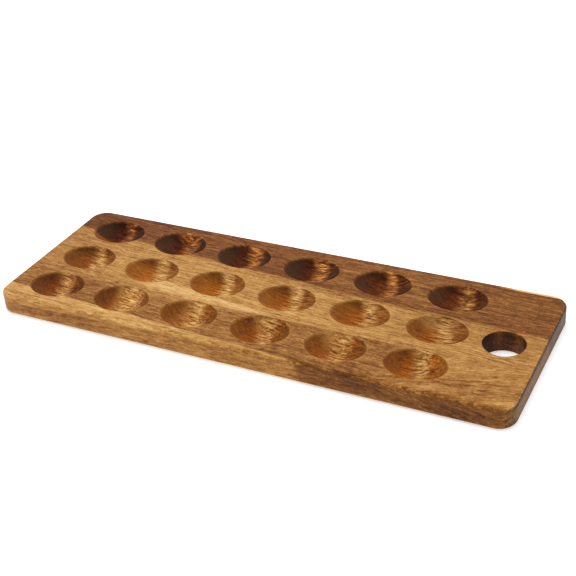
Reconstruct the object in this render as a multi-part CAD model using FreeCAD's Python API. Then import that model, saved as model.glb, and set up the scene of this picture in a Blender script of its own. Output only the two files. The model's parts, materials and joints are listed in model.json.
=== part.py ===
"""Egg holder tray.

A flat board, edge-glued from three full-length hardwood staves. Eighteen egg-shaped
pockets (six columns by three rows) are sunk into its top face, and one end carries a
round hole for hanging it up. Each stave is written as its own solid; neighbouring
staves meet face to face along the two glue lines.

Frame: millimetres, origin at the centre of the footprint on the underside.
+X runs along the board towards the hanging hole, +Y to the rear, +Z up.
"""

import math
import os

import FreeCAD
import Part

# Board
BOARD_LENGTH = 416.0
BOARD_WIDTH = 146.0
BOARD_THICKNESS = 17.0
CORNER_RADIUS = 13.0
EDGE_ROUND = 2.5

# Glue lines between the staves, as distances from the board's centre line
REAR_GLUE_LINE = 20.5
FRONT_GLUE_LINE = -28.5

# Egg pockets: each is the bed of a hen's egg lying on its side along X
EGG_HALF_LENGTH = 28.5
EGG_HALF_DIAMETER = 22.0
EGG_AXIS_ABOVE_TOP = 12.65
COLUMNS = 6
ROWS = 3
COLUMN_PITCH = 60.0
ROW_PITCH = 44.5
FIRST_COLUMN_FROM_END = 39.0
POCKET_RIM_ROUND = 0.6

# Hanging hole
HOLE_RADIUS = 15.0
HOLE_FROM_END = 28.0
HOLE_EDGE_ROUND = 1.0

TOLERANCE = 0.01

LEFT_END = -BOARD_LENGTH / 2
RIGHT_END = BOARD_LENGTH / 2
FRONT_EDGE = -BOARD_WIDTH / 2
REAR_EDGE = BOARD_WIDTH / 2
HOLE_X = RIGHT_END - HOLE_FROM_END


def box_between(low, high):
    """An axis-aligned block from its low corner to its high corner."""
    size = [b - a for a, b in zip(low, high)]
    return Part.makeBox(size[0], size[1], size[2], FreeCAD.Vector(*low))


def flat_edges(shape, height):
    """The edges of a shape that lie wholly in the level plane at this height."""
    found = []
    for edge in shape.Edges:
        bounds = edge.BoundBox
        if abs(bounds.ZMin - height) < TOLERANCE and abs(bounds.ZMax - height) < TOLERANCE:
            found.append(edge)
    return found


def upright_edges(shape):
    """The edges of a shape that run the full height of the board."""
    return [edge for edge in shape.Edges if edge.BoundBox.ZLength > BOARD_THICKNESS - TOLERANCE]


def board_blank():
    """The glued-up board cut to outline, with its corners and long edges rounded."""
    blank = box_between((LEFT_END, FRONT_EDGE, 0), (RIGHT_END, REAR_EDGE, BOARD_THICKNESS))
    blank = blank.makeFillet(CORNER_RADIUS, upright_edges(blank))
    outline = flat_edges(blank, 0) + flat_edges(blank, BOARD_THICKNESS)
    return blank.makeFillet(EDGE_ROUND, outline)


def egg_cutter(centre):
    """The egg-shaped body that one pocket is cut with, long axis along X."""
    along_x = FreeCAD.Vector(1, 0, 0)
    tip = FreeCAD.Vector(EGG_HALF_LENGTH, 0, 0)
    side = FreeCAD.Vector(0, EGG_HALF_DIAMETER, 0)
    ellipse = Part.Ellipse(tip, side, FreeCAD.Vector(0, 0, 0))
    upper_half = ellipse.toShape(0, math.pi)
    axis_line = Part.makeLine(FreeCAD.Vector(-EGG_HALF_LENGTH, 0, 0), tip)
    profile = Part.Face(Part.Wire([upper_half, axis_line]))
    egg = profile.revolve(FreeCAD.Vector(0, 0, 0), along_x, 360)
    egg.translate(centre)
    return egg


def pocket_centres():
    """Where the axis of each egg lies: six columns by three rows, centred on the width."""
    centres = []
    for column in range(COLUMNS):
        x = LEFT_END + FIRST_COLUMN_FROM_END + column * COLUMN_PITCH
        for row in range(ROWS):
            y = (row - (ROWS - 1) / 2) * ROW_PITCH
            centres.append(FreeCAD.Vector(x, y, BOARD_THICKNESS + EGG_AXIS_ABOVE_TOP))
    return centres


def is_outline(edge):
    """True for an edge on the border of the flat part of the top or underside."""
    bounds = edge.BoundBox
    inset = EDGE_ROUND + TOLERANCE
    at_end = bounds.XMin < LEFT_END + inset or bounds.XMax > RIGHT_END - inset
    at_side = bounds.YMin < FRONT_EDGE + inset or bounds.YMax > REAR_EDGE - inset
    return at_end or at_side


def hole_edges(shape):
    """The two rims of the hanging hole."""
    level = flat_edges(shape, 0) + flat_edges(shape, BOARD_THICKNESS)
    centred = [edge for edge in level if abs(edge.BoundBox.Center.x - HOLE_X) < TOLERANCE]
    return [edge for edge in centred if edge.BoundBox.XLength < 2 * HOLE_RADIUS + TOLERANCE]


def pocket_rims(shape):
    """The rims of the egg pockets on the top face."""
    rims = [edge for edge in flat_edges(shape, BOARD_THICKNESS) if not is_outline(edge)]
    return [edge for edge in rims if edge.BoundBox.Center.x < HOLE_X - HOLE_RADIUS]


def machined_board():
    """The board with its hanging hole bored, its pockets cut and their rims broken."""
    board = board_blank()
    drill = Part.makeCylinder(HOLE_RADIUS, BOARD_THICKNESS, FreeCAD.Vector(HOLE_X, 0, 0))
    board = board.cut(drill)
    board = board.makeFillet(HOLE_EDGE_ROUND, hole_edges(board))
    for centre in pocket_centres():
        board = board.cut(egg_cutter(centre))
    return board.makeFillet(POCKET_RIM_ROUND, pocket_rims(board))


def stave(board, front, rear):
    """The slice of the board that one stave makes up, between two lines along X."""
    strip = box_between((LEFT_END, front, 0), (RIGHT_END, rear, BOARD_THICKNESS))
    piece = board.common(strip)
    return piece.Solids[0]


def main():
    os.makedirs("parts", exist_ok=True)
    board = machined_board()
    staves = {
        "rear_stave": (REAR_GLUE_LINE, REAR_EDGE),
        "middle_stave": (FRONT_GLUE_LINE, REAR_GLUE_LINE),
        "front_stave": (FRONT_EDGE, FRONT_GLUE_LINE),
    }
    for name, (front, rear) in staves.items():
        stave(board, front, rear).exportStep("parts/" + name + ".step")


main()
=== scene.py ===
import json
import math
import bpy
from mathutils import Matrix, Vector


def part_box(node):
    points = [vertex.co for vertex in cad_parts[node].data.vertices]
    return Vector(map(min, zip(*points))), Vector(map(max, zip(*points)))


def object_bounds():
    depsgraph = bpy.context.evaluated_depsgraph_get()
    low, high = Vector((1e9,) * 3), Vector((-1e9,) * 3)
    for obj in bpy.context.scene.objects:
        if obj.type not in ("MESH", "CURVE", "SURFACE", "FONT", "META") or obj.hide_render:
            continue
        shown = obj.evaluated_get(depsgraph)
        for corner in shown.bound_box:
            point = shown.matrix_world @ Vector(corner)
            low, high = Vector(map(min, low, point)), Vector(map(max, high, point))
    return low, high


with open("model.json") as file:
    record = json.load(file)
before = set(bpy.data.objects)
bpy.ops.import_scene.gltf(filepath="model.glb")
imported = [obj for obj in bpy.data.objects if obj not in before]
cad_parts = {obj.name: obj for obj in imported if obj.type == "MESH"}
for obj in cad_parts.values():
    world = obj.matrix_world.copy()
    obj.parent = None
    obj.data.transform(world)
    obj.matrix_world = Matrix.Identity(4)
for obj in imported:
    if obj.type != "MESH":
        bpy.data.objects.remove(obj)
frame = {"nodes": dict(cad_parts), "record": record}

from types import SimpleNamespace

import bpy
from mathutils import Matrix, Vector

cad_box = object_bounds()
scene = bpy.context.scene
record = frame["record"]

# ---------------------------------------------------------------- sizes, in millimetres
MM_PER_M = 1000.0
TOP = cad_box[1][2] * MM_PER_M
FRONT_EDGE = cad_box[0][1] * MM_PER_M
REAR_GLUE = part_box("rear_stave")[0][1] * MM_PER_M
FRONT_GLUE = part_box("front_stave")[1][1] * MM_PER_M

openings = [opening["box_m"] for opening in record["physics"]["openings"]]
centres = [[(a + b) / 2 * MM_PER_M for a, b in zip(*box)] for box in openings]
POCKET_X = sorted({round(centre[0], 3) for centre in centres})
POCKET_Y = sorted({round(centre[1], 3) for centre in centres})
RIM_HALF_LENGTH = 23.3
RIM_HALF_WIDTH = 18.0
BELOW_POCKETS = TOP - 10.0

hole = next(mount for mount in record["mounts"] if mount["name"] == "hanging_hole")
HOLE_X, HOLE_Y = (place * MM_PER_M for place in hole["pos_m"][:2])
HOLE_R = hole["dims"]["r_mm"]

# how the border of the dark timber slopes and bends along X, and how the sapwood's border slopes
BORDER_SLOPE = 0.0686
BORDER_BEND = -0.000123
SAP_SLOPE = 0.066
RING_SPACING = 2.3

# ---------------------------------------------------------------- colours (linear) and finish
GOLDEN = [
    (0.0, (0.060, 0.017, 0.003)),
    (0.3, (0.205, 0.076, 0.012)),
    (0.6, (0.435, 0.220, 0.060)),
    (0.8, (0.545, 0.325, 0.115)),
    (1.0, (0.640, 0.445, 0.200)),
]
REDDISH = [
    (0.0, (0.040, 0.010, 0.003)),
    (0.3, (0.120, 0.034, 0.007)),
    (0.6, (0.285, 0.105, 0.025)),
    (0.8, (0.400, 0.175, 0.055)),
    (1.0, (0.540, 0.290, 0.115)),
]
PORE = (0.050, 0.018, 0.006)
# a grey mixed into the left-hand pocket walls as a painted reflection of the bright surroundings
GREY_REFLECTION = (0.046, 0.029, 0.016)
# a grey mixed into the end grain, its own dull grey together with a painted reflection
END_GREY_AND_REFLECTION = (0.129, 0.095, 0.048)

# tints that multiply the timber's colour; AMBER and UMBER hold one for golden and one for reddish timber, for
# the darkened pocket walls, whose darkening holds painted shade
AMBER = ((0.62, 0.36, 0.09), (0.30, 0.14, 0.04))
UMBER = ((0.49, 0.34, 0.15), (0.21, 0.145, 0.09))
# a tint that brightens the painted highlight stripe in the pockets
HIGHLIGHT_TINT = (1.75, 1.70, 1.50)
# painted shade: a tint that makes the long side faces a little darker and yellower than the top
LONG_FACE_SHADE = (0.94, 0.88, 0.74)
END_GRAIN = (0.47, 0.40, 0.27)
END_UPPER = (0.70, 0.53, 0.32)
END_LOWER = (0.80, 0.88, 0.94)
END_ARRIS = (0.36, 0.40, 0.48)
BORE_GREEN, BORE_BLUE = 0.72, 0.50

SPECULAR = 0.11
BUMP_STRENGTH = 0.3
BUMP_DISTANCE = 0.0002

# ---------------------------------------------------------------- camera, light and floor
CAMERA_AZIMUTH, CAMERA_ELEVATION, CAMERA_ROLL = 28.332, 31.768, 4.278
CAMERA_TARGET = Vector((0.006052, 0.012878, 0.017246))
CAMERA_DISTANCE = 0.86935
CAMERA_LENS = 71.03
WORLD_STRENGTH = 0.62
FLOOR_HALF = 60
FLOOR_GAP = 0.0002
FLOOR_GREY = (0.85, 0.85, 0.85, 1)
FLOOR_GLOW = 0.45
FLOOR_ROUGHNESS = 0.6
WHITE = (1, 1, 1, 1)


class Shader:
    """A material's node tree, built by expressions. Lengths in it are millimetres in the row frame."""

    def __init__(self, name):
        self.material = bpy.data.materials.new(name)
        self.material.use_nodes = True
        self.tree = self.material.node_tree
        self.bsdf = self.tree.nodes["Principled BSDF"]
        scale = self.add("ShaderNodeVectorMath", operation="SCALE")
        self.feed(scale.inputs[0], self.add("ShaderNodeTexCoord").outputs["Object"])
        self.feed(scale.inputs["Scale"], MM_PER_M)
        self.x, self.y, self.z = self.split(scale.outputs[0])

    def add(self, kind, **settings):
        node = self.tree.nodes.new(kind)
        for key, value in settings.items():
            setattr(node, key, value)
        return node

    def feed(self, socket, value):
        """Link a socket into this one, or set this one to a plain value."""
        if isinstance(value, bpy.types.NodeSocket):
            self.tree.links.new(value, socket)
        else:
            socket.default_value = value

    def maths(self, operation, a, b=0.0, c=0.0, clamp=False):
        node = self.add("ShaderNodeMath", operation=operation, use_clamp=clamp)
        for socket, value in zip(node.inputs, (a, b, c)):
            self.feed(socket, value)
        return node.outputs[0]

    def plus(self, a, *others):
        for b in others:
            a = self.maths("ADD", a, b)
        return a

    def minus(self, a, b):
        return self.maths("SUBTRACT", a, b)

    def times(self, a, *others):
        for b in others:
            a = self.maths("MULTIPLY", a, b)
        return a

    def scaled(self, a, factor, offset=0.0):
        return self.maths("MULTIPLY_ADD", a, factor, offset)

    def size(self, a):
        return self.maths("ABSOLUTE", a)

    def larger(self, a, b):
        return self.maths("MAXIMUM", a, b)

    def length(self, a, b):
        return self.maths("SQRT", self.plus(self.times(a, a), self.times(b, b)))

    def split(self, vector):
        node = self.add("ShaderNodeSeparateXYZ")
        self.feed(node.inputs[0], vector)
        return tuple(node.outputs)

    def join(self, x, y, z):
        node = self.add("ShaderNodeCombineXYZ")
        for socket, value in zip(node.inputs, (x, y, z)):
            self.feed(socket, value)
        return node.outputs[0]

    def step(self, value, start, end):
        """0 on the start side, 1 on the end side, eased between. start may be above end."""
        before, after = 0.0, 1.0
        if start > end:
            start, end, before, after = end, start, after, before
        node = self.add("ShaderNodeMapRange", interpolation_type="SMOOTHSTEP")
        for socket, item in zip(node.inputs[:5], (value, start, end, before, after)):
            self.feed(socket, item)
        return node.outputs[0]

    def bell(self, value, centre, width):
        """1 at centre, falling to almost 0 at twice the width on either side."""
        off = self.scaled(self.minus(value, centre), 1 / width)
        return self.maths("EXPONENT", self.times(off, off, -1.0))

    def noise(self, x, y, z, seed, detail=2.0, rough=0.5):
        """Centred on 0, about -0.5 to 0.5."""
        node = self.add("ShaderNodeTexNoise", noise_dimensions="4D")
        self.feed(node.inputs["Vector"], self.join(x, y, z))
        self.feed(node.inputs["W"], seed)
        self.feed(node.inputs["Scale"], 1.0)
        self.feed(node.inputs["Detail"], detail)
        self.feed(node.inputs["Roughness"], rough)
        return self.minus(node.outputs[0], 0.5)

    def pattern(self, waves, seed, detail=2.0, rough=0.5):
        """Noise in the board's own axes. waves says how many it has in a millimetre of X, Y and Z."""
        x, y, z = (self.scaled(place, wave) for place, wave in zip((self.x, self.y, self.z), waves))
        return self.noise(x, y, z, seed, detail, rough)

    def ramp(self, value, stops):
        node = self.add("ShaderNodeValToRGB")
        elements = node.color_ramp.elements
        while len(elements) < len(stops):
            elements.new(0.5)
        for element, (place, colour) in zip(elements, stops):
            element.position = place
            element.color = (*colour, 1)
        self.feed(node.inputs[0], value)
        return node.outputs[0]

    def mix(self, factor, a, b, blend="MIX"):
        node = self.add("ShaderNodeMix", data_type="RGBA", blend_type=blend)
        self.feed(node.inputs["Factor"], factor)
        for socket, value in ((node.inputs[6], a), (node.inputs[7], b)):
            self.feed(socket, (*value, 1) if isinstance(value, tuple) else value)
        return node.outputs[2]

    def tinted(self, colour, tint):
        return self.mix(1.0, colour, tint, "MULTIPLY")

    def tinted_where(self, mask, colour, tint):
        return self.mix(mask, colour, self.tinted(colour, tint))


# ---------------------------------------------------------------- broad figure of the timber
def summed(s, tone, red, features):
    """Tone (0 dark to 1 light) and redness (0 to 1) after each (mask, change of tone, change of redness)."""
    for mask, lighter, redder in features:
        if lighter:
            tone = s.plus(tone, s.scaled(mask, lighter))
        if redder:
            red = s.plus(red, s.scaled(mask, redder))
    return tone, red


def board_figure(s):
    """The figure that the rear and middle staves share."""
    wander = s.pattern((0.012, 0.05, 0.05), 3.1, 3.0)
    ragged = s.pattern((0.035, 0.45, 0.45), 4.1, 3.0, 0.7)
    along = s.plus(s.y, s.scaled(s.x, BORDER_SLOPE), s.times(s.x, s.x, BORDER_BEND))
    along = s.plus(along, s.scaled(wander, 5.0), s.scaled(ragged, 9.0))

    # darker heartwood along the rear, with a thin purplish line in front of it
    dark = s.step(along, 21.0, 28.0)
    line = s.bell(along, 28.0, 3.0)
    far = s.times(dark, s.step(s.x, 70.0, -10.0))
    # a pale streak through the middle on the left
    pale = s.times(s.bell(along, -25.5, 5.0), s.step(s.x, -118.0, -88.0), s.step(s.x, 25.0, -25.0))
    # pinkish timber at the left end, and slightly darker timber towards the right end
    left = s.step(s.x, -120.0, -185.0)
    right = s.step(s.x, 60.0, 200.0)
    # duller beside the front glue line, where there is no pale streak
    dull_left = s.times(s.step(s.x, -90.0, -140.0), s.step(s.x, -200.0, -165.0))
    dull_right = s.times(s.step(s.x, -10.0, 30.0), s.step(s.x, 115.0, 95.0))
    dull = s.times(s.step(along, -19.0, -29.0), s.plus(dull_left, dull_right))
    # a paler streak in front of the hanging hole
    gleam = s.times(s.bell(along, -5.0, 10.0), s.step(s.x, 118.0, 142.0), s.step(s.x, 194.0, 174.0))
    # a cream strip of sapwood on the rear top edge
    strip = s.step(s.plus(s.y, s.scaled(wander, 4.0)), 67.8, 69.4)
    strip = s.times(strip, s.step(s.x, 150.0, 180.0), s.step(s.z, TOP - 5.0, TOP - 3.0))

    return summed(s, 0.56, 0.08, [
        (dark, -0.150, 0.68),
        (line, -0.03, 0.12),
        (far, -0.045, 0.12),
        (pale, 0.26, 0.0),
        (left, -0.04, 0.34),
        (dull, -0.035, 0.12),
        (right, -0.05, 0.0),
        (gleam, 0.055, 0.0),
        (strip, 0.80, -0.75),
    ])


def front_figure(s):
    """The front stave's own figure: pinkish heartwood, a sapwood corner, golden timber at the right end."""
    wander = s.pattern((0.012, 0.06, 0.06), 7.7, 3.0)
    outer = s.step(s.y, -69.0, -72.5)
    right = s.step(s.x, 95.0, 150.0)
    left = s.step(s.x, -95.0, -150.0)
    # a paler band beside the glue line
    band = s.times(s.step(s.x, -115.0, -95.0), s.step(s.x, 10.0, -30.0))
    beside = s.times(s.step(s.y, -39.0, -30.0), s.scaled(band, 0.12, 0.03))
    # sapwood on the outer top corner, narrowing to the right
    reach = s.plus(s.y, s.scaled(s.x, SAP_SLOPE), s.scaled(s.minus(TOP, s.z), 3.0), s.scaled(wander, 2.5))
    sap = s.step(reach, -67.0, -68.6)
    bright_sap = s.times(sap, s.scaled(s.step(s.x, -100.0, -5.0), -0.14, 0.30))
    # the front edge turns golden towards the underside and along its middle
    body = s.times(outer, s.step(s.x, 60.0, 45.0), s.step(reach, -68.6, -66.0))
    edge = s.times(s.step(s.x, 62.0, 46.0), s.step(s.x, -130.0, -40.0), outer)
    upper_edge = s.times(edge, s.step(s.z, 9.5, 12.0))
    foot = s.times(outer, s.step(s.z, 5.5, 2.5))
    core = s.plus(s.times(s.step(s.x, -60.0, -110.0), 0.055), s.scaled(s.bell(s.x, 20.0, 15.0), 0.05))
    core = s.times(outer, s.bell(s.z, 8.0, 3.5), core)
    # dark heartwood in the front edge on the right
    under = s.plus(s.scaled(s.z, -1.0, TOP), s.scaled(s.y, -1.0, FRONT_EDGE), s.scaled(wander, 1.5))
    deep = s.times(s.step(s.x, 46.0, 58.0), s.step(under, -5.0, 1.5), s.step(s.y, -66.0, -70.5))
    deepest = s.times(deep, s.step(s.x, 110.0, 165.0))
    # a dull smudge where the heartwood reaches the front margin, and a redder front right corner
    smudge = s.times(s.bell(s.x, 92.0, 11.0), s.bell(s.y, -67.0, 6.0))
    corner = s.times(s.step(s.x, 130.0, 165.0), s.step(s.y, -48.0, -58.0), s.step(s.x, 196.0, 184.0))

    return summed(s, 0.45, 0.40, [
        (right, 0.07, -0.28),
        (left, -0.02, 0.18),
        (beside, 1.0, 0.0),
        (bright_sap, 1.0, 0.0),
        (sap, 0.0, -0.40),
        (body, 0.06, -0.08),
        (s.times(outer, sap), -0.10, 0.0),
        (upper_edge, 0.035, 0.0),
        (edge, 0.0, -0.22),
        (foot, 0.05, -0.30),
        (core, 1.0, 0.0),
        (deep, -0.17, -0.12),
        (deepest, -0.14, 0.0),
        (smudge, -0.09, 0.0),
        (corner, -0.035, 0.08),
    ])


# ---------------------------------------------------------------- where a place lies
def offset_from_nearest(s, value, middles):
    """The distance of a place from the nearest of a row of evenly spaced centres."""
    first, pitch = middles[0], middles[1] - middles[0]
    index = s.maths("ROUND", s.scaled(value, 1 / pitch, -first / pitch))
    index = s.maths("MINIMUM", s.larger(index, 0.0), len(middles) - 1.0)
    return s.minus(value, s.scaled(index, pitch, first))


def surface_masks(s, mottle, pocket):
    """Which part of the board a place is on, and how its surface lies to the fibres."""
    m = SimpleNamespace()
    # offsets from the nearest pocket's centre, and how far out in that pocket a place is: 1 on its rim
    m.u = offset_from_nearest(s, s.x, POCKET_X)
    m.v = offset_from_nearest(s, s.y, POCKET_Y)
    out = s.length(s.scaled(m.u, 1 / RIM_HALF_LENGTH), s.scaled(m.v, 1 / RIM_HALF_WIDTH))
    m.q = s.plus(out, s.scaled(s.step(s.z, BELOW_POCKETS, BELOW_POCKETS - 0.5), 5.0))
    m.inside = s.step(m.q, 1.01, 0.96)
    m.outside = s.scaled(m.inside, -1.0, 1.0)

    nx, ny, nz = s.split(s.add("ShaderNodeNewGeometry").outputs["Normal"])
    facing_end, facing_side, facing_up = s.size(nx), s.size(ny), s.size(nz)
    m.end_grain = s.times(s.step(facing_end, 0.40, 0.95), m.outside)
    m.steep = s.step(facing_end, 0.12, 0.45)
    m.long_edge = s.times(s.step(facing_side, 0.55, 0.90), m.outside)
    m.eased = s.times(s.step(facing_up, 0.97, 0.80), s.step(facing_up, 0.10, 0.35), m.outside)
    m.upper_arris = s.bell(nz, 0.52, 0.30)
    # how far the surface is from running with the fibres, which rise a little towards +X; where it runs with
    # them, each pocket keeps a painted highlight stripe
    lean = s.scaled(mottle, 0.10, pocket["lean"])
    cut = s.plus(s.scaled(nx, 0.977), s.scaled(ny, 0.07), s.times(nz, lean))
    m.runout = s.larger(s.scaled(cut, pocket["left"]), s.scaled(cut, -1.0))
    return m


# ---------------------------------------------------------------- grain
def grain_fields(s, seed, pith, slant):
    """Noise fields that follow growth rings, which are shells about a pith line nearly along X."""
    slope, bend, rise, end_slope = slant
    slow = s.pattern((0.010, 0.030, 0.030), seed)
    quick = s.pattern((0.040, 0.14, 0.14), seed + 1.3, 3.0, 0.6)
    towards_end = s.larger(s.plus(s.x, -110.0), 0.0)
    across = s.plus(s.y, s.scaled(s.x, slope), s.times(s.x, s.x, bend), -pith[0])
    across = s.plus(across, s.scaled(towards_end, end_slope))
    depth = s.plus(s.z, s.scaled(s.x, rise), -pith[1])
    ring = s.plus(s.length(across, depth), s.scaled(slow, 9.0), s.scaled(quick, 2.4))
    turn = s.maths("ARCTAN2", depth, across)

    def in_rings(waves, offset, detail, rough):
        places = [s.scaled(place, wave) for place, wave in zip((ring, s.x, turn), waves)]
        return s.noise(*places, seed + offset, detail, rough)

    g = SimpleNamespace()
    g.broad = in_rings((0.085, 0.0018, 1.5), 2.0, 2.0, 0.55)
    g.streak = in_rings((0.36, 0.012, 4.0), 3.0, 5.0, 0.74)
    g.fibre = in_rings((0.95, 0.11, 40.0), 4.0, 3.0, 0.70)
    g.mottle = s.pattern((0.11, 0.16, 0.16), seed + 5.0)
    g.speck = s.pattern((0.62, 0.8, 0.8), seed + 5.5, 2.0, 0.65)
    g.ripple = s.pattern((0.42, 0.05, 0.05), seed + 5.8)
    pore_field = in_rings((1.25, 0.085, 50.0), 6.0, 1.0, 0.5)
    g.pore = s.times(s.step(pore_field, 0.10, 0.19), s.step(g.mottle, -0.12, 0.10))
    g.patch = s.pattern((0.014, 0.030, 0.010), seed + 7.0, 1.0)
    g.layers = s.pattern((0.0, 0.07, 0.9), seed + 9.0, 3.0, 0.6)
    g.fleck = s.pattern((0.16, 0.9, 0.9), seed + 10.0, 2.0, 0.6)
    # late wood is the dark last part of each ring
    cycle = s.maths("FRACT", s.plus(s.scaled(ring, 1 / RING_SPACING), s.scaled(g.broad, 3.0)))
    g.late = s.times(s.maths("POWER", cycle, 3.0), s.scaled(g.broad, 1.2, 0.6))
    return g


def grained(s, tone, red, g, m, pocket):
    """Tone and redness with the grain, the rubbed edges and the glue lines added to the broad figure."""
    lively = s.times(m.inside, s.step(m.u, -12.0, 0.0), s.step(m.u, 24.0, 10.0))
    tone = s.plus(
        tone,
        s.scaled(g.broad, 0.30),
        s.times(g.streak, s.scaled(m.inside, -0.35, 0.80)),
        s.scaled(g.fibre, 1.10),
        s.times(s.larger(g.fibre, -0.09), lively, 2.2),
        s.times(g.late, m.outside, -0.13),
        s.times(g.speck, s.scaled(m.end_grain, 0.5, 0.50)),
        s.times(g.layers, m.end_grain, 0.45),
        s.scaled(g.mottle, 0.10),
        s.scaled(g.ripple, 0.14),
        s.scaled(m.inside, pocket["tone"]),
    )
    # eased edges are a little paler, wear with a painted edge highlight, and the front one is worn in flecks
    edge_wear_and_highlight = s.times(m.eased, s.step(s.y, 70.0, 66.0), s.scaled(g.speck, 0.25, 0.07))
    worn = s.times(s.step(g.fleck, 0.02, 0.16), s.bell(s.y, -70.6, 1.6))
    worn = s.times(worn, s.step(s.z, TOP - 3.0, TOP - 1.5), s.step(s.x, 60.0, 0.0))
    # the rims of the pockets are paler too, wear with a painted rim highlight
    rim = s.bell(m.q, 1.0, 0.02)
    tone = s.plus(tone, edge_wear_and_highlight, s.scaled(worn, 0.16), s.scaled(rim, 0.11))
    # the glue lines show as hairlines
    for line in (REAR_GLUE, FRONT_GLUE):
        hair = s.times(s.bell(s.y, line, 0.22), m.outside, s.scaled(g.mottle, 2.0, 1.0))
        tone = s.plus(tone, s.scaled(hair, -0.14))

    red = s.plus(red, s.scaled(g.broad, -0.35), s.scaled(g.mottle, 0.15))
    in_pocket = s.times(s.scaled(m.inside, pocket["red"]), s.step(s.x, -150.0, -90.0))
    return tone, s.plus(red, in_pocket)


# ---------------------------------------------------------------- colour
def with_pockets(s, colour, redness, g, m, pocket):
    """The cut walls of the pockets are darker, most where they cross the fibres, and painted shade is laid
    into this darkening; a light stripe left in each is a painted highlight.
    """
    runout = s.times(m.runout, s.scaled(g.patch, 3.0, 0.95))
    crossing = s.plus(runout, s.scaled(g.fibre, 0.14), s.scaled(g.streak, 0.06))
    # the left-hand walls darken slowly from the rim, the others at once
    fade = s.scaled(s.step(m.u, 6.0, -6.0), 0.04, 0.05)
    sunk = s.step(s.maths("DIVIDE", s.scaled(m.q, -1.0, 1.0), fade), -0.6, 1.0)
    # where the walls darken: cut fibres are darker, and painted shade is laid in with them
    cut_grain_and_shade = s.times(s.step(crossing, -0.01, 0.25), sunk)

    # colour of the darkened walls, cut fibres and painted shade together
    cut_grain_and_shade_tint = s.mix(m.steep, s.mix(redness, *AMBER), s.mix(redness, *UMBER))
    cut_grain_and_shade_colour = s.tinted(colour, cut_grain_and_shade_tint)
    # painted reflection: a grey mixed into the left-hand walls of the redder pockets
    grey_reflection_mask = s.times(redness, redness, s.step(m.u, -6.0, -18.0), 0.45)
    cut_grain_and_shade_colour = s.mix(grey_reflection_mask, cut_grain_and_shade_colour, GREY_REFLECTION)
    # painted shade: left of the stripe the wall is darker at the rear than at the front, and a painted shadow
    # lies under the rear lip
    tilt = s.plus(s.scaled(s.step(m.v, 4.0, 14.0), -0.36), s.scaled(s.step(m.v, -3.0, -13.0), 0.34))
    shade = s.plus(s.times(tilt, s.step(m.u, 8.0, -4.0)), 1.0)
    shade = s.times(shade, s.scaled(s.step(m.v, 10.0, 15.0), -pocket["lip"], 1.0))
    cut_grain_and_shade_colour = s.tinted(cut_grain_and_shade_colour, s.join(*(s.scaled(shade, factor) for factor in pocket["tint"])))
    # painted highlight: where the cut runs along the fibres the wall is left light and tinted brighter as a
    # stripe, less so towards the right end
    highlight_strength = pocket["highlight_strength"]
    highlight_mask = s.times(m.inside, s.scaled(s.step(s.x, 85.0, 120.0), -0.7 * highlight_strength, highlight_strength))
    return s.mix(cut_grain_and_shade, s.tinted_where(highlight_mask, colour, HIGHLIGHT_TINT), cut_grain_and_shade_colour)


def with_ends(s, colour, m):
    """End grain is dull and greyer, its own grey together with a painted reflection of the bright
    surroundings, browner near the top, with a dark line along its eased edge.
    """
    ended = s.mix(0.25, s.tinted(colour, END_GRAIN), END_GREY_AND_REFLECTION)
    ended = s.tinted_where(s.step(s.z, 9.0, 15.0), ended, END_UPPER)
    ended = s.tinted_where(s.step(s.z, 6.5, 3.0), ended, END_LOWER)
    ended = s.tinted_where(m.upper_arris, ended, END_ARRIS)
    return s.mix(m.end_grain, colour, ended)


def with_bore(s, colour, seed):
    """The hanging hole's wall is dark, mostly painted shade, with paler upright streaks of painted
    reflection, lighter towards its right.
    """
    hx, hy = s.plus(s.x, -HOLE_X), s.plus(s.y, -HOLE_Y)
    bore = s.step(s.length(hx, hy), HOLE_R + 0.9, HOLE_R + 0.1)
    angle = s.scaled(s.maths("ARCTAN2", hy, hx), 7.0)
    around = s.noise(angle, s.scaled(s.z, 0.02), 0.0, seed + 8.0, 2.0, 0.6)
    lit = s.plus(
        s.scaled(s.bell(hx, 5.0, 3.5), 0.32, 0.27),
        s.scaled(s.bell(hx, -8.0, 2.5), 0.12),
        s.scaled(s.step(hx, 4.0, 12.0), 0.12),
        s.scaled(around, 0.35),
    )
    bored = s.tinted(colour, s.join(lit, s.scaled(lit, BORE_GREEN), s.scaled(lit, BORE_BLUE)))
    return s.mix(bore, colour, bored)


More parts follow.
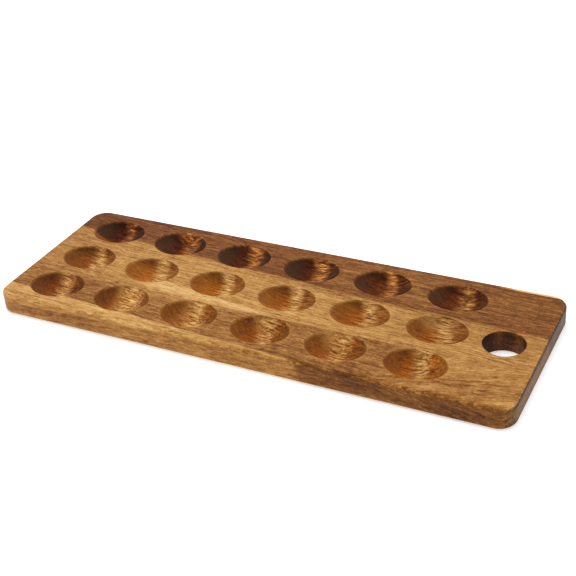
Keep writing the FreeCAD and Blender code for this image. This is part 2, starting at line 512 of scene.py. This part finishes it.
def wood(name, figure, seed, pith, slant, pocket):
    """One stave's oiled timber."""
    s = Shader(name)
    g = grain_fields(s, seed, pith, slant)
    m = surface_masks(s, g.mottle, pocket)
    tone, red = grained(s, *figure(s), g, m, pocket)
    redness = s.maths("ADD", red, 0.0, clamp=True)
    colour = s.mix(redness, s.ramp(tone, GOLDEN), s.ramp(tone, REDDISH))
    colour = s.mix(s.scaled(g.pore, 0.62), colour, PORE)
    colour = with_pockets(s, colour, redness, g, m, pocket)
    # painted shade: the long side faces are tinted a little darker and yellower than the top, against the
    # pale reflection they catch
    colour = s.tinted_where(m.long_edge, colour, LONG_FACE_SHADE)
    colour = with_ends(s, colour, m)
    colour = with_bore(s, colour, seed)
    rough = s.plus(s.scaled(g.streak, -0.10, 0.40), s.scaled(m.end_grain, 0.10), s.scaled(g.pore, 0.15))
    s.feed(s.bsdf.inputs["Base Color"], colour)
    s.feed(s.bsdf.inputs["Roughness"], rough)
    s.bsdf.inputs["Specular IOR Level"].default_value = SPECULAR

    # pores and fibres stand in slight relief, and the cutter left faint ridges in the pockets
    height = s.plus(s.scaled(g.fibre, 0.5), s.scaled(g.streak, 0.3), s.scaled(g.pore, -0.8))
    height = s.plus(height, s.times(m.inside, s.maths("SINE", s.scaled(m.q, 70.0)), 0.05))
    bump = s.add("ShaderNodeBump")
    bump.inputs["Strength"].default_value = BUMP_STRENGTH
    bump.inputs["Distance"].default_value = BUMP_DISTANCE
    s.feed(bump.inputs["Height"], height)
    s.feed(s.bsdf.inputs["Normal"], bump.outputs[0])
    return s.material


def make_wood():
    """Each stave's timber. The pith is given by its Y and Z at the middle of the board. The slant is how the
    rings slope and bend along X, how they rise, and how they turn near the right end. A pocket's settings are
    its change of tone and of redness, where its painted highlight stripe lies (lean), how gently the stripe
    fades to the left, how strong its painted highlight is, the painted shadow under its rear lip, and the
    tint of its darkened walls, whose darkening holds painted shade."""
    staves = {
        "rear_stave": {
            "figure": board_figure,
            "seed": 11.0,
            "pith": (185.0, -30.0),
            "slant": (BORDER_SLOPE, BORDER_BEND, 0.02, 0.0),
            "pocket": {
                "tone": 0.0, "red": 0.05, "lean": 0.20, "left": 0.78,
                "highlight_strength": 0.9, "lip": 0.0, "tint": (1.16, 1.12, 0.95),
            },
        },
        "middle_stave": {
            "figure": board_figure,
            "seed": 23.0,
            "pith": (-130.0, -60.0),
            "slant": (BORDER_SLOPE, BORDER_BEND, -0.02, 0.0),
            "pocket": {
                "tone": 0.03, "red": 0.0, "lean": 0.18, "left": 0.70,
                "highlight_strength": 0.18, "lip": 0.35, "tint": (1.12, 1.04, 0.90),
            },
        },
        "front_stave": {
            "figure": front_figure,
            "seed": 37.0,
            "pith": (-18.0, -48.0),
            "slant": (SAP_SLOPE, 0.0, 0.03, -0.30),
            "pocket": {
                "tone": 0.08, "red": -0.13, "lean": 0.12, "left": 0.56,
                "highlight_strength": 0.30, "lip": 0.0, "tint": (1.16, 1.02, 0.78),
            },
        },
    }
    for node, settings in staves.items():
        frame["nodes"][node].material_slots[0].material = wood("acacia_" + node, **settings)


# ---------------------------------------------------------------- surroundings
def make_camera():
    """A camera to the front right of the board and above it, rolled a little."""
    azimuth, elevation, roll = map(math.radians, (CAMERA_AZIMUTH, CAMERA_ELEVATION, CAMERA_ROLL))
    flat = math.cos(elevation)
    back = Vector((math.sin(azimuth) * flat, -math.cos(azimuth) * flat, math.sin(elevation)))
    right = (-back).cross(Vector((0, 0, 1))).normalized()
    up = back.cross(right)
    side = right * math.cos(roll) - up * math.sin(roll)
    top = right * math.sin(roll) + up * math.cos(roll)
    data = bpy.data.cameras.new("camera")
    data.lens = CAMERA_LENS
    data.sensor_width = 36
    data.clip_start = 0.01
    data.clip_end = 50
    camera = bpy.data.objects.new("camera", data)
    place = Matrix.Translation(CAMERA_TARGET + back * CAMERA_DISTANCE)
    camera.matrix_world = place @ Matrix((side, top, back)).transposed().to_4x4()
    scene.collection.objects.link(camera)
    scene.camera = camera


def area_light(name, place, size, power):
    """A rectangular lamp aimed at the board, with no reflection of its own."""
    data = bpy.data.lights.new(name, "AREA")
    data.shape = "RECTANGLE"
    data.size, data.size_y = size
    data.energy = power
    light = bpy.data.objects.new(name, data)
    light.location = place
    light.rotation_euler = (-Vector(place)).to_track_quat("-Z", "Y").to_euler()
    light.visible_glossy = False
    scene.collection.objects.link(light)


def make_studio():
    world = bpy.data.worlds.new("studio")
    scene.world = world
    world.use_nodes = True
    background = world.node_tree.nodes["Background"]
    background.inputs["Color"].default_value = WHITE
    background.inputs["Strength"].default_value = WORLD_STRENGTH
    area_light("key", (-0.25, 0.2, 1.4), (0.7, 1.2), 17)
    area_light("front_fill", (0.4, -1.5, 0.35), (1.4, 0.5), 4)
    area_light("right_fill", (1.6, 0.5, 0.4), (0.8, 0.5), 3)


def make_floor():
    mesh = bpy.data.meshes.new("floor")
    corners = [(x * FLOOR_HALF, y * FLOOR_HALF, 0) for x, y in ((-1, -1), (1, -1), (1, 1), (-1, 1))]
    mesh.from_pydata(corners, [], [(0, 1, 2, 3)])
    floor = bpy.data.objects.new("floor", mesh)
    floor.location.z = cad_box[0][2] - FLOOR_GAP
    scene.collection.objects.link(floor)
    material = bpy.data.materials.new("pale_floor")
    material.use_nodes = True
    shader = material.node_tree.nodes["Principled BSDF"]
    shader.inputs["Base Color"].default_value = FLOOR_GREY
    shader.inputs["Emission Color"].default_value = WHITE
    shader.inputs["Emission Strength"].default_value = FLOOR_GLOW
    shader.inputs["Roughness"].default_value = FLOOR_ROUGHNESS
    mesh.materials.append(material)


make_wood()
make_camera()
make_studio()
make_floor()
scene.view_settings.view_transform = "Standard"
